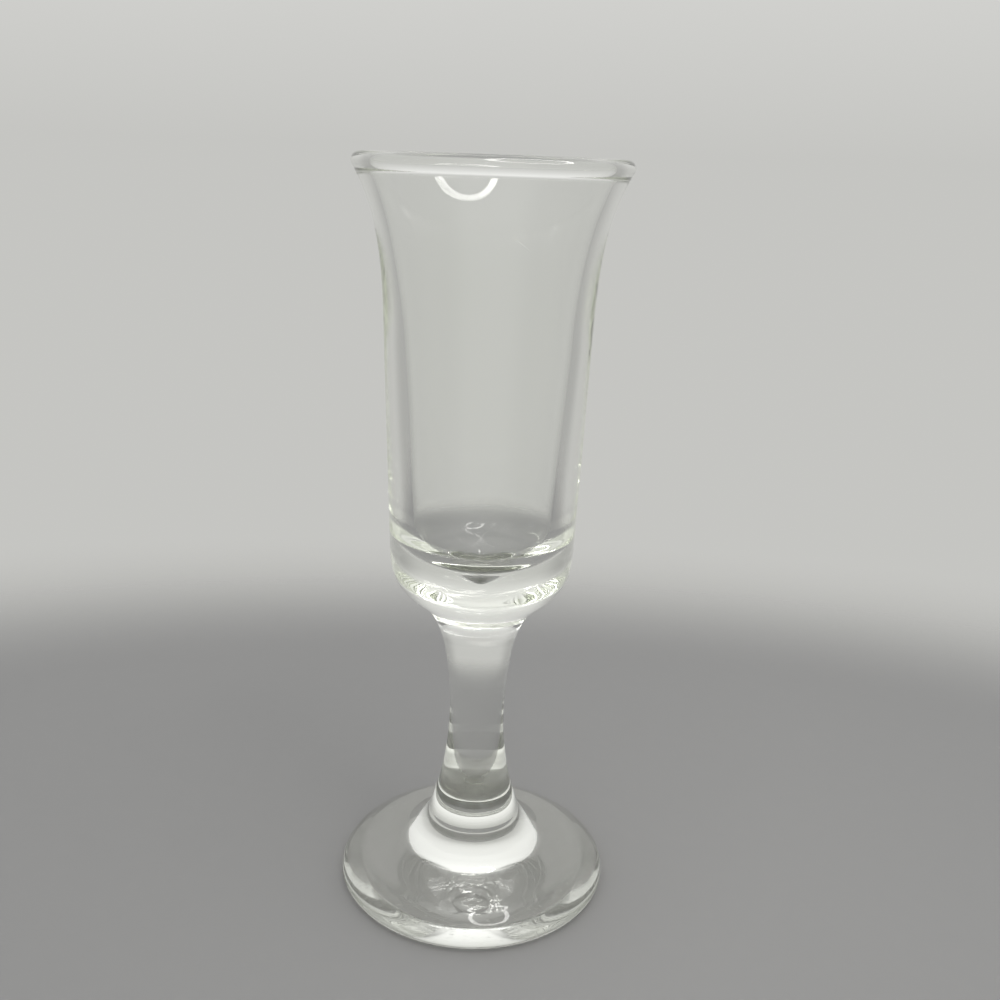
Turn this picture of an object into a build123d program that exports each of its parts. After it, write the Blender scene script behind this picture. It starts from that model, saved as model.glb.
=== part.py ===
from build123d import *
import os

os.makedirs("parts", exist_ok=True)

# Stemmed cordial glass: bowl, stem and foot, three gathers fused hot at two flat welds.
# Millimetres, +Z up the axis, origin at the centre of the plane the foot stands on.

# Heights of the three gathers
foot_height = 16.2
stem_length = 34.8
bowl_height = 74.0

# Welds, each shared by the two pieces that meet there
low_weld_radius = 6.95
top_weld_radius = 8.45
low_weld_slope = -0.3
top_weld_slope = 0.65

# Foot: humped disc with a sloping edge, standing on a ring round a hollowed underside
foot_radius = 23.6
nose_width = 1.4
nose_height = 1.45
ring_width = 3.6
hollow_height = 1.0
edge_width = 4.3
edge_height = 5.4
edge_slope = 0.7
edge_round = 1.6
hump_radius = 12.5
hump_height = 7.6
hump_slope = 0.9
hump_round = 2.4
flank_radius = 8.6
flank_height = 11.6

# Stem: waisted rod that swells into both welds, heights from its lower weld
low_swell_radius = 5.42
low_swell_height = 7.0
waist_radius = 4.75
waist_height = 16.4
mid_swell_radius = 5.49
mid_swell_height = 25.8
top_swell_radius = 6.95
top_swell_height = 31.9

# Bowl, outside: rounded heavy base, tapered barrel, bell-flared mouth with a rolled lip, heights from its weld
cheek_radius = 12.0
cheek_height = 3.45
base_radius = 14.0
base_height = 5.7
barrel_low_radius = 15.38
barrel_low_height = 13.0
barrel_top_radius = 16.4
barrel_top_height = 46.0
throat_radius = 16.95
throat_height = 57.0
bell_radius = 18.34
bell_height = 65.0
lip_radius = 21.35
lip_round = 1.4
lip_bulge = 0.1
lip_slope = 0.5
lip_blend = 0.7

# Bowl, inside: wall at the lip and at each of those heights, then the rounded well and its dipped floor
lip_wall = 2.0
bell_wall = 2.1
throat_wall = 2.4
barrel_top_wall = 3.1
barrel_low_wall = 3.88
well_low_height = 18.0
corner_wall = 4.6
corner_height = 14.3
heel_radius = 9.2
heel_height = 11.9
dish_radius = 4.0
dish_height = 9.4
tip_radius = 1.3
tip_height = 7.8
dip_height = 7.3


def turned(edges):
    """Solid of revolution about the axis, from a closed half outline drawn as (radius, height)."""
    return revolve(Plane.XZ * make_face(edges), axis=Axis.Z)


# Foot: underside, standing ring, rounded nose, sloping edge, disc, hump flank, weld face
ring_outer = foot_radius - nose_width
ring_inner = ring_outer - ring_width
hollow = TangentArc((0, hollow_height), (ring_inner, 0), tangent=(1, 0))
ring = Line(hollow @ 1, (ring_outer, 0))
nose = EllipticalCenterArc((ring_outer, nose_height), nose_width, nose_height, start_angle=270)
edge = Spline(nose @ 1, (foot_radius - edge_width, edge_height), tangents=[(0, 1), (-1, edge_slope)])
disc = Line(edge @ 1, (hump_radius, hump_height))
flank = Spline(
    disc @ 1,
    (flank_radius, flank_height),
    (low_weld_radius, foot_height),
    tangents=[(-1, hump_slope), (low_weld_slope, 1)],
)
weld_face = Line(flank @ 1, (0, foot_height))
core = Line(weld_face @ 1, hollow @ 0)
top_line = Wire([edge, disc, flank])
top_line = fillet(top_line.vertices().sort_by_distance(disc @ 0)[0], edge_round)
top_line = fillet(top_line.vertices().sort_by_distance(disc @ 1)[0], hump_round)
foot = turned([hollow, ring, nose] + top_line.edges() + [weld_face, core])

# Stem: one smooth side between the two weld faces
side = Spline(
    (low_weld_radius, 0),
    (low_swell_radius, low_swell_height),
    (waist_radius, waist_height),
    (mid_swell_radius, mid_swell_height),
    (top_swell_radius, top_swell_height),
    (top_weld_radius, stem_length),
    tangents=[(low_weld_slope, 1), (top_weld_slope, 1)],
)
stem = turned(
    [
        Line((0, 0), side @ 0),
        side,
        Line(side @ 1, (0, stem_length)),
        Line((0, stem_length), (0, 0)),
    ]
)

# Bowl: weld face, base, barrel, bell, rolled lip, then down the inside to the dip in the floor
barrel = Line((barrel_low_radius, barrel_low_height), (barrel_top_radius, barrel_top_height))
base = Spline(
    (top_weld_radius, 0),
    (cheek_radius, cheek_height),
    (base_radius, base_height),
    barrel @ 0,
    tangents=[(top_weld_slope, 1), barrel % 0],
)
lip_centre = Vector(lip_radius - lip_round, bowl_height - lip_round)
lip_along = Vector(lip_slope, 1).normalized()
lip_across = Vector(1, -lip_slope).normalized()
lip_out = lip_round - lip_bulge
lip_in = lip_wall - lip_out
bell = Spline(
    barrel @ 1,
    (throat_radius, throat_height),
    (bell_radius, bell_height),
    lip_centre + lip_across * lip_out - lip_along * (lip_round**2 - lip_out**2) ** 0.5,
    tangents=[barrel % 1, lip_along],
)
lip = ThreePointArc(
    bell @ 1,
    lip_centre + lip_along * lip_round,
    lip_centre - lip_across * lip_in - lip_along * (lip_round**2 - lip_in**2) ** 0.5,
)
well_top = Vector(barrel_top_radius - barrel_top_wall, barrel_top_height)
well_low = Vector(barrel_low_radius - barrel_low_wall, well_low_height)
well = Line(well_top, well_low)
mouth = Spline(
    lip @ 1,
    (bell_radius - bell_wall, bell_height),
    (throat_radius - throat_wall, throat_height),
    well_top,
    tangents=[-lip_along, well % 0],
)
floor = Spline(
    well_low,
    (barrel_low_radius - corner_wall, corner_height),
    (heel_radius, heel_height),
    (dish_radius, dish_height),
    (tip_radius, tip_height),
    (0, dip_height),
    tangents=[well % 1, (-1, 0)],
)
rim = Wire([bell, lip, mouth])
rim = fillet(rim.vertices().sort_by_distance(lip @ 0)[0], lip_blend)
rim = fillet(rim.vertices().sort_by_distance(lip @ 1)[0], lip_blend)
bottom = Line((0, 0), base @ 0)
axis = Line(floor @ 1, (0, 0))
bowl = turned([bottom, base, barrel] + rim.edges() + [well, floor, axis])

stem = Pos(0, 0, foot_height) * stem
bowl = Pos(0, 0, foot_height + stem_length) * bowl

export_step(foot, "parts/foot.step")
export_step(stem, "parts/stem.step")
export_step(bowl, "parts/bowl.step")
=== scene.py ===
import math

import bpy
import numpy as np
from mathutils import Matrix, Vector


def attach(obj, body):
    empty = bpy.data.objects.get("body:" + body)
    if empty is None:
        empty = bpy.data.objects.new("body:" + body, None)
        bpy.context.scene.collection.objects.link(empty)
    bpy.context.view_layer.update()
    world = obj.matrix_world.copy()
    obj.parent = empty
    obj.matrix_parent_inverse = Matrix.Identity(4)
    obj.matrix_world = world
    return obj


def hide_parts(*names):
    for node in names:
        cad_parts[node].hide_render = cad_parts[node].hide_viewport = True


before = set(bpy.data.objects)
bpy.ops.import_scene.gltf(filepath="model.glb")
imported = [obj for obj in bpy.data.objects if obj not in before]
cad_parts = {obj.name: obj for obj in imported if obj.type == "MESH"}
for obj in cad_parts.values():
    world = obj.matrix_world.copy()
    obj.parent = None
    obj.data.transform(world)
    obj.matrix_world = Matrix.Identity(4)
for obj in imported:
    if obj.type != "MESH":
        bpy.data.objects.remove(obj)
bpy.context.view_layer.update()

MM = 0.001

# Half outlines as (radius, height above the table) in mm, with the sizes of the CAD solids
FOOT_TOP = 16.2
STEM_TOP = 51.0
LIP_TOP = 125.0
LOW_WELD = (6.95, FOOT_TOP)
TOP_WELD = (8.45, STEM_TOP)
LOW_FLARE = (-0.3, 1)
TOP_FLARE = (0.65, 1)

# Turning: steps round the axis, and the angle in degrees from which an edge is shaded sharp
TURNS = 160
SHARP_ANGLE = 40

# Faint ripple of hot-worked glass, in mm inwards: two waves round the axis, twisting with height
BOWL_RIPPLE = 0.012
STEM_RIPPLE = 0.01
FOOT_RIPPLE = 0.01
WIDE_WAVES = 3
WIDE_TWIST = 0.19
NARROW_WAVES = 7
NARROW_TWIST = 0.13
NARROW_SHARE = 0.7
INSIDE_TURN = 1.9

# Glass
GLASS_INDEX = 1.515
BODY_COLOUR = (0.928, 0.945, 0.885, 1)
BODY_DENSITY = 14
CORD_COLOUR = (0.975, 0.985, 0.965, 1)
CORD_STRENGTH = 0.05
CORD_DEPTH = 0.0004
SMUDGE_ROUGHNESS = 0.05
SCRATCH_ROUGHNESS = 0.3

# Camera at the photograph's viewing angle
CAMERA_PLACE = (0.0, -0.173, 0.126)
CAMERA_LENS = 39.6
CAMERA_SENSOR = 36
PITCH = math.radians(17.73)
ROLL = math.radians(2.06)
YAW = math.radians(0.92)

# Floor: just under the standing ring, fading out in an oval that reaches further to both sides
FLOOR_HALF = 2
FLOOR_HEIGHT = -0.00008
FLOOR_COLOUR = (0.45, 0.445, 0.435, 1)
FLOOR_GRAIN_COLOUR = (0.44, 0.436, 0.427, 1)
FLOOR_SIDE_WEIGHT = 0.3
FLOOR_FADE_START = 0.09
FLOOR_FADE_END = 0.18

# Studio: the light that falls on the floor, and what is seen in and through the glass
LIGHT_COLOUR = (0.97, 0.98, 1.0, 1)
LIGHT_STRENGTH = 0.58
STUDIO_LOW_COLOUR = (0.56, 0.56, 0.54, 1)
STUDIO_HIGH_COLOUR = (1.1, 1.1, 1.08, 1)
STUDIO_HIGH = 0.9
SIDE_START = 0.42
SIDE_END = 0.75
SIDE_STRENGTH = 0.72
LAMP_COLOUR = (1, 0.99, 0.97, 1)
LAMP_SIDES = 96
BOUNCES = 64


def spline(points, start, end, count):
    """Smooth cubic curve through the points, leaving along start and arriving along end."""
    points = np.array(points, float)
    gap = np.linalg.norm(np.diff(points, axis=0), axis=1)
    slope = np.diff(points, axis=0) / gap[:, None]
    size = len(points)
    rows = np.zeros((size, size))
    known = np.zeros((size, 2))
    rows[0, 0] = 1
    rows[-1, -1] = 1
    known[0] = np.array(start) / np.linalg.norm(start)
    known[-1] = np.array(end) / np.linalg.norm(end)
    for i in range(1, size - 1):
        rows[i, i - 1:i + 2] = gap[i], 2 * (gap[i - 1] + gap[i]), gap[i - 1]
        known[i] = 3 * (gap[i] * slope[i - 1] + gap[i - 1] * slope[i])
    way = np.linalg.solve(rows, known)
    knots = np.concatenate([[0], np.cumsum(gap)])
    curve = []
    for along in np.linspace(0, knots[-1], count):
        i = min(np.searchsorted(knots, along, side="right") - 1, size - 2)
        s = (along - knots[i]) / gap[i]
        curve.append(
            points[i] * (2 * s**3 - 3 * s**2 + 1)
            + way[i] * gap[i] * (s**3 - 2 * s**2 + s)
            + points[i + 1] * (3 * s**2 - 2 * s**3)
            + way[i + 1] * gap[i] * (s**3 - s**2)
        )
    return np.array(curve)


def line(start, end, count):
    return np.linspace(np.array(start, float), np.array(end, float), count)


def arc(centre, size, first, last, count):
    """Part of an ellipse, from the first to the last angle in degrees."""
    angles = np.radians(np.linspace(first, last, count))
    return np.array(centre) + np.column_stack([size[0] * np.cos(angles), size[1] * np.sin(angles)])


def rounded(before, after, cut, count):
    """Two runs that meet at a corner, with the corner rounded off over a length cut of each."""
    corner = before[-1]
    before = before[np.linalg.norm(before - corner, axis=1) > cut]
    after = after[np.linalg.norm(after - corner, axis=1) > cut]
    s = np.linspace(0, 1, count)[1:-1, None]
    bend = before[-1] * (1 - s) ** 2 + 2 * s * (1 - s) * corner + after[0] * s**2
    return np.concatenate([before, bend, after])


def joined(*runs):
    """The runs end to end, each shared point once."""
    return np.concatenate([runs[0]] + [np.array(run)[1:] for run in runs[1:]])


def foot_outline():
    """Hollow underside, standing ring, rounded nose, sloping edge, disc, hump and weld face."""
    foot_radius = 23.6
    ring_in = 18.6
    ring_out = 22.2
    rise = 1.0
    nose_width = 1.4
    nose_height = 1.45
    shoulder = (19.3, 5.4)
    hump = (12.5, 7.6)
    flank_middle = (8.6, 11.6)
    edge_end = (-1, 0.7)
    flank_start = (-1, 0.9)
    dome = (ring_in**2 + rise**2) / (2 * rise)
    dome_end = 90 - math.degrees(math.asin(ring_in / dome))
    hollow = arc((0, rise - dome), (dome, dome), 90, dome_end, count=40)
    hollow[-1] = ring_in, 0
    ring = line((ring_in, 0), (ring_out, 0), count=12)
    nose = arc((ring_out, nose_height), (nose_width, nose_height), -90, 0, count=20)
    edge = spline([(foot_radius, nose_height), shoulder], (0, 1), edge_end, count=80)
    disc = line(shoulder, hump, count=60)
    flank = spline([hump, flank_middle, LOW_WELD], flank_start, LOW_FLARE, count=110)
    top = rounded(edge, disc, cut=0.8, count=14)
    top = rounded(top, flank, cut=1.2, count=14)
    return joined(hollow, ring, nose, top, [LOW_WELD, (0, FOOT_TOP)])


def stem_outline():
    """Lower weld face, waisted side and upper weld face."""
    low_swell = (5.42, 23.2)
    waist = (4.75, 32.6)
    mid_swell = (5.49, 42.0)
    top_swell = (6.95, 48.1)
    points = [LOW_WELD, low_swell, waist, mid_swell, top_swell, TOP_WELD]
    side = spline(points, LOW_FLARE, TOP_FLARE, count=140)
    return joined([(0, FOOT_TOP), LOW_WELD], side, [TOP_WELD, (0, STEM_TOP)])


def bowl_outline():
    """Outside up to the lip, then down the inside; the second value counts the points of the outside."""
    cheek = (12.0, 54.45)
    shoulder = (14.0, 56.7)
    barrel_low = (15.38, 64.0)
    barrel_top = (16.4, 97.0)
    throat_out = (16.95, 108.0)
    bell_out = (18.34, 116.0)
    lip_radius = 21.35
    lip_round = 1.4
    lip_out = 1.3
    lip_in = 0.7
    lip_flare = np.array([0.5, 1.0])
    bell_in = (16.24, 116.0)
    throat_in = (14.55, 108.0)
    well_top = (13.3, 97.0)
    well_low = (11.5, 69.0)
    corner = (10.78, 65.3)
    heel = (9.2, 62.9)
    dish = (4.0, 60.4)
    tip = (1.3, 58.8)
    dip = (0, 58.3)
    barrel = line(barrel_low, barrel_top, count=30)
    well = line(well_top, well_low, count=26)
    up = barrel[1] - barrel[0]
    down = well[1] - well[0]
    lean = math.degrees(math.atan2(lip_flare[1], lip_flare[0])) - 180.0
    under = lean + math.degrees(math.asin(lip_out / lip_round))
    over = lean + 360.0 - math.degrees(math.asin(lip_in / lip_round))
    lip = arc((lip_radius - lip_round, LIP_TOP - lip_round), (lip_round, lip_round), under, over, count=70)
    base = spline([TOP_WELD, cheek, shoulder, barrel[0]], TOP_FLARE, up, count=90)
    bell = spline([barrel[-1], throat_out, bell_out, lip[0]], up, lip_flare, count=110)
    mouth = spline([lip[-1], bell_in, throat_in, well[0]], -lip_flare, down, count=110)
    floor_line = spline([well[-1], corner, heel, dish, tip, dip], down, (-1, 0), count=110)
    floor_line[-1, 0] = 0
    rim = rounded(bell, lip, cut=0.15, count=8)
    rim = rounded(rim, mouth, cut=0.3, count=10)
    lower = joined([(0, STEM_TOP), TOP_WELD], base, barrel)
    return joined(lower, rim, well, floor_line), len(lower) + len(bell) + len(lip) // 2


def turned(name, outline, ripple, shift, weld_heights):
    """Closed mesh turned from a half outline that starts and ends on the axis.
    ripple is the depth of the waves in mm at each point of the outline, and shift turns them."""
    angles = np.linspace(0, 2 * math.pi, TURNS, endpoint=False)
    verts = []
    faces = []
    rings = []
    for (radius, height), depth, turn in zip(outline, ripple, shift):
        first = len(verts)
        if radius < 1e-6:
            rings.append([first] * TURNS)
            verts.append((0, 0, height * MM))
            continue
        rings.append(list(range(first, first + TURNS)))
        wide = np.sin(WIDE_WAVES * angles + WIDE_TWIST * height + turn)
        narrow = NARROW_SHARE * np.sin(NARROW_WAVES * angles - NARROW_TWIST * height + 2 * turn)
        rippled = radius + depth * (wide + narrow - (1 + NARROW_SHARE))
        across = rippled * np.cos(angles) * MM
        along = rippled * np.sin(angles) * MM
        verts += [(x, y, height * MM) for x, y in zip(across, along)]
    for low, high in zip(rings, rings[1:]):
        for i in range(TURNS):
            j = (i + 1) % TURNS
            faces.append(tuple(dict.fromkeys((low[i], low[j], high[j], high[i]))))
    mesh = bpy.data.meshes.new(name)
    mesh.from_pydata(verts, [], faces)
    mesh.polygons.foreach_set("use_smooth", [True] * len(mesh.polygons))
    weld = mesh.attributes.new("weld", "FLOAT", "FACE")
    for face in mesh.polygons:
        level = abs(face.normal.z) > 0.9999
        at_weld = any(abs(face.center.z - height * MM) < 1e-7 for height in weld_heights)
        weld.data[face.index].value = float(level and at_weld)
    mesh.set_sharp_from_angle(angle=math.radians(SHARP_ANGLE))
    obj = bpy.data.objects.new(name, mesh)
    bpy.context.scene.collection.objects.link(obj)
    return obj


def fade(height, low, high, soft):
    """1 between two heights, falling to 0 at both."""
    return np.clip((height - low) / soft, 0, 1) * np.clip((high - height) / soft, 0, 1)


foot_line = foot_outline()
stem_line = stem_outline()
bowl_line, outside = bowl_outline()
foot_ripple = FOOT_RIPPLE * fade(foot_line[:, 1], low=3.0, high=FOOT_TOP, soft=4.0)
stem_ripple = STEM_RIPPLE * fade(stem_line[:, 1], low=FOOT_TOP, high=STEM_TOP, soft=6.0)
bowl_ripple = BOWL_RIPPLE * fade(bowl_line[:, 1], low=STEM_TOP, high=122.0, soft=6.0)
foot_shift = np.zeros(len(foot_line))
stem_shift = np.zeros(len(stem_line))
bowl_shift = np.where(np.arange(len(bowl_line)) < outside, 0.0, INSIDE_TURN)
pieces = {
    "bowl": turned("bowl_glass", bowl_line, bowl_ripple, bowl_shift, [STEM_TOP]),
    "stem": turned("stem_glass", stem_line, stem_ripple, stem_shift, [FOOT_TOP, STEM_TOP]),
    "foot": turned("foot_glass", foot_line, foot_ripple, foot_shift, [FOOT_TOP]),
}


def nodes_of(block):
    block.use_nodes = True
    return block.node_tree.nodes, block.node_tree.links


def math_node(nodes, links, operation, *inputs):
    node = nodes.new("ShaderNodeMath")
    node.operation = operation
    for socket, value in zip(node.inputs, inputs):
        if isinstance(value, (int, float)):
            socket.default_value = value
        else:
            links.new(value, socket)
    return node.outputs[0]


def smooth(nodes, links, value, low, high):
    """0 at low and 1 at high, easing in and out."""
    node = nodes.new("ShaderNodeMapRange")
    node.interpolation_type = "SMOOTHSTEP"
    links.new(value, node.inputs["Value"])
    node.inputs["From Min"].default_value = low
    node.inputs["From Max"].default_value = high
    return node.outputs["Result"]


def noise(nodes, links, where, stretch, scale, detail):
    """Noise from 0 to 1 over the object's own coordinates in metres, stretched by axis."""
    place = nodes.new("ShaderNodeMapping")
    place.inputs["Scale"].default_value = stretch
    node = nodes.new("ShaderNodeTexNoise")
    node.inputs["Scale"].default_value = scale
    node.inputs["Detail"].default_value = detail
    links.new(where, place.inputs["Vector"])
    links.new(place.outputs[0], node.inputs["Vector"])
    return node.outputs["Fac"]


def colour_mix(nodes, links, factor, first, second):
    node = nodes.new("ShaderNodeMix")
    node.data_type = "RGBA"
    node.inputs["A"].default_value = first
    node.inputs["B"].default_value = second
    links.new(factor, node.inputs["Factor"])
    return node.outputs["Result"]


def shader_mix(nodes, links, factor, first, second):
    node = nodes.new("ShaderNodeMixShader")
    links.new(factor, node.inputs[0])
    links.new(first.outputs[0], node.inputs[1])
    links.new(second.outputs[0], node.inputs[2])
    return node.outputs[0]


def glass():
    """Clear glass with a faint grey-green body colour, hot-worked cords, smudges and a worn standing ring.
    The weld faces inside it are left invisible."""
    material = bpy.data.materials.new("clear_glass")
    nodes, links = nodes_of(material)
    surface = nodes["Principled BSDF"]
    surface.inputs["Transmission Weight"].default_value = 1
    surface.inputs["IOR"].default_value = GLASS_INDEX
    where = nodes.new("ShaderNodeTexCoord").outputs["Object"]

    # Cords: long soft streaks of slightly different glass, seen as a faint bend and a trace of colour
    cords = noise(nodes, links, where, stretch=(1, 1, 0.22), scale=85, detail=2)
    bump = nodes.new("ShaderNodeBump")
    bump.inputs["Strength"].default_value = CORD_STRENGTH
    bump.inputs["Distance"].default_value = CORD_DEPTH
    links.new(cords, bump.inputs["Height"])
    links.new(bump.outputs[0], surface.inputs["Normal"])
    tint = colour_mix(nodes, links, cords, (1, 1, 1, 1), CORD_COLOUR)
    links.new(tint, surface.inputs["Base Color"])

    # Roughness: faint smudges from handling, and fine scratches on the ring that it stands on
    touched = noise(nodes, links, where, stretch=(1, 1, 1), scale=42, detail=5)
    smudge = smooth(nodes, links, touched, low=0.6, high=0.85)
    rubbed = noise(nodes, links, where, stretch=(1, 6, 1), scale=900, detail=3)
    scratch = smooth(nodes, links, rubbed, low=0.45, high=0.75)
    split = nodes.new("ShaderNodeSeparateXYZ")
    links.new(where, split.inputs[0])
    ring = smooth(nodes, links, split.outputs["Z"], low=0.0005, high=0.0001)
    worn = math_node(nodes, links, "MULTIPLY", ring, scratch)
    worn = math_node(nodes, links, "MULTIPLY", worn, SCRATCH_ROUGHNESS)
    marks = math_node(nodes, links, "MULTIPLY", smudge, SMUDGE_ROUGHNESS)
    links.new(math_node(nodes, links, "MAXIMUM", worn, marks), surface.inputs["Roughness"])

    weld = nodes.new("ShaderNodeAttribute")
    weld.attribute_name = "weld"
    through = nodes.new("ShaderNodeBsdfTransparent")
    output = nodes["Material Output"]
    links.new(shader_mix(nodes, links, weld.outputs["Fac"], surface, through), output.inputs["Surface"])
    body = nodes.new("ShaderNodeVolumeAbsorption")
    body.inputs["Color"].default_value = BODY_COLOUR
    body.inputs["Density"].default_value = BODY_DENSITY
    links.new(body.outputs[0], output.inputs["Volume"])
    return material


clear = glass()
for node, piece in pieces.items():
    piece.data.materials.append(clear)
    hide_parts(node)
    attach(piece, "root")

ahead = Vector((math.sin(YAW) * math.cos(PITCH), math.cos(YAW) * math.cos(PITCH), -math.sin(PITCH)))
level = Vector((math.cos(YAW), -math.sin(YAW), 0))
upright = level.cross(ahead)
across = level * math.cos(ROLL) + upright * math.sin(ROLL)
upward = upright * math.cos(ROLL) - level * math.sin(ROLL)
cam = bpy.data.objects.new("camera", bpy.data.cameras.new("camera"))
cam.matrix_world = Matrix((
    (across.x, upward.x, -ahead.x, CAMERA_PLACE[0]),
    (across.y, upward.y, -ahead.y, CAMERA_PLACE[1]),
    (across.z, upward.z, -ahead.z, CAMERA_PLACE[2]),
    (0, 0, 0, 1),
))
cam.data.sensor_width = CAMERA_SENSOR
cam.data.lens = CAMERA_LENS
cam.data.clip_start = 0.01
bpy.context.scene.collection.objects.link(cam)
bpy.context.scene.camera = cam


def floor_material():
    """Plain matt grey with a very fine grain, fading out away from the glass."""
    material = bpy.data.materials.new("plain_floor")
    nodes, links = nodes_of(material)
    surface = nodes["Principled BSDF"]
    surface.inputs["Roughness"].default_value = 0.9
    surface.inputs["Specular IOR Level"].default_value = 0.1
    where = nodes.new("ShaderNodeTexCoord").outputs["Object"]
    grain = noise(nodes, links, where, stretch=(1, 1, 1), scale=260, detail=4)
    tone = colour_mix(nodes, links, grain, FLOOR_COLOUR, FLOOR_GRAIN_COLOUR)
    links.new(tone, surface.inputs["Base Color"])
    split = nodes.new("ShaderNodeSeparateXYZ")
    links.new(where, split.inputs[0])
    side = math_node(nodes, links, "MULTIPLY", split.outputs["X"], split.outputs["X"])
    side = math_node(nodes, links, "MULTIPLY", side, FLOOR_SIDE_WEIGHT)
    depth = math_node(nodes, links, "MULTIPLY", split.outputs["Y"], split.outputs["Y"])
    away = math_node(nodes, links, "SQRT", math_node(nodes, links, "ADD", side, depth))
    faded = smooth(nodes, links, away, FLOOR_FADE_START, FLOOR_FADE_END)
    through = nodes.new("ShaderNodeBsdfTransparent")
    links.new(shader_mix(nodes, links, faded, surface, through), nodes["Material Output"].inputs["Surface"])
    return material


def flat(name, points, faces, place, material):
    """Flat mesh of the studio, outside the part."""
    mesh = bpy.data.meshes.new(name)
    mesh.from_pydata([(x, y, 0) for x, y in points], [], faces)
    mesh.materials.append(material)
    obj = bpy.data.objects.new(name, mesh)
    obj.location = place
    bpy.context.scene.collection.objects.link(obj)
    return obj


floor_corners = [
    (-FLOOR_HALF, -FLOOR_HALF),
    (FLOOR_HALF, -FLOOR_HALF),
    (FLOOR_HALF, FLOOR_HALF),
    (-FLOOR_HALF, FLOOR_HALF),
]
flat("floor", floor_corners, [(0, 1, 2, 3)], (0, 0, FLOOR_HEIGHT), floor_material())

# World: paler towards the top and dimmer at both sides, apart from the even light that falls on the floor
world = bpy.data.worlds.new("studio")
bpy.context.scene.world = world
nodes, links = nodes_of(world)
path = nodes.new("ShaderNodeLightPath")
lit = nodes.new("ShaderNodeBackground")
lit.inputs["Color"].default_value = LIGHT_COLOUR
lit.inputs["Strength"].default_value = LIGHT_STRENGTH
seen = nodes["Background"]
where = nodes.new("ShaderNodeTexCoord")
split = nodes.new("ShaderNodeSeparateXYZ")
links.new(where.outputs["Generated"], split.inputs[0])
ramp = nodes.new("ShaderNodeValToRGB")
low_end, high_end = ramp.color_ramp.elements
low_end.position = 0.0
low_end.color = STUDIO_LOW_COLOUR
high_end.position = STUDIO_HIGH
high_end.color = STUDIO_HIGH_COLOUR
links.new(split.outputs["Z"], ramp.inputs[0])
links.new(ramp.outputs[0], seen.inputs["Color"])
sideways = math_node(nodes, links, "ABSOLUTE", split.outputs["X"])
aside = smooth(nodes, links, sideways, SIDE_START, SIDE_END)
strength = math_node(nodes, links, "MULTIPLY_ADD", aside, SIDE_STRENGTH - 1.0, 1.0)
links.new(strength, seen.inputs["Strength"])
view = shader_mix(nodes, links, path.outputs["Is Diffuse Ray"], seen, lit)
links.new(view, nodes["World Output"].inputs["Surface"])


def glow(colour, strength):
    material = bpy.data.materials.new("ring_lamp")
    nodes, links = nodes_of(material)
    nodes.remove(nodes["Principled BSDF"])
    light = nodes.new("ShaderNodeEmission")
    light.inputs["Color"].default_value = colour
    light.inputs["Strength"].default_value = strength
    links.new(light.outputs[0], nodes["Material Output"].inputs["Surface"])
    return material


def ring_lamp(place, aim, radius, width, strength):
    """Flat glowing ring that isn't seen by the camera itself."""
    angles = np.linspace(0, 2 * math.pi, LAMP_SIDES, endpoint=False)
    points = []
    for edge in (radius - width / 2, radius + width / 2):
        points += [(edge * math.cos(angle), edge * math.sin(angle)) for angle in angles]
    faces = []
    for i in range(LAMP_SIDES):
        j = (i + 1) % LAMP_SIDES
        faces.append((i, j, LAMP_SIDES + j, LAMP_SIDES + i))
    ring = flat("ring_lamp", points, faces, place, glow(LAMP_COLOUR, strength))
    ring.rotation_euler = (Vector(aim) - ring.location).to_track_quat("Z", "Y").to_euler()
    ring.visible_camera = False


ring_lamp(place=(0.030, -0.0325, 0.185), aim=(0.030, -0.0325, 0), radius=0.032, width=0.007, strength=10)

scene = bpy.context.scene
scene.view_settings.view_transform = "Standard"
scene.cycles.max_bounces = BOUNCES
scene.cycles.transmission_bounces = BOUNCES
scene.cycles.glossy_bounces = BOUNCES
scene.cycles.transparent_max_bounces = BOUNCES
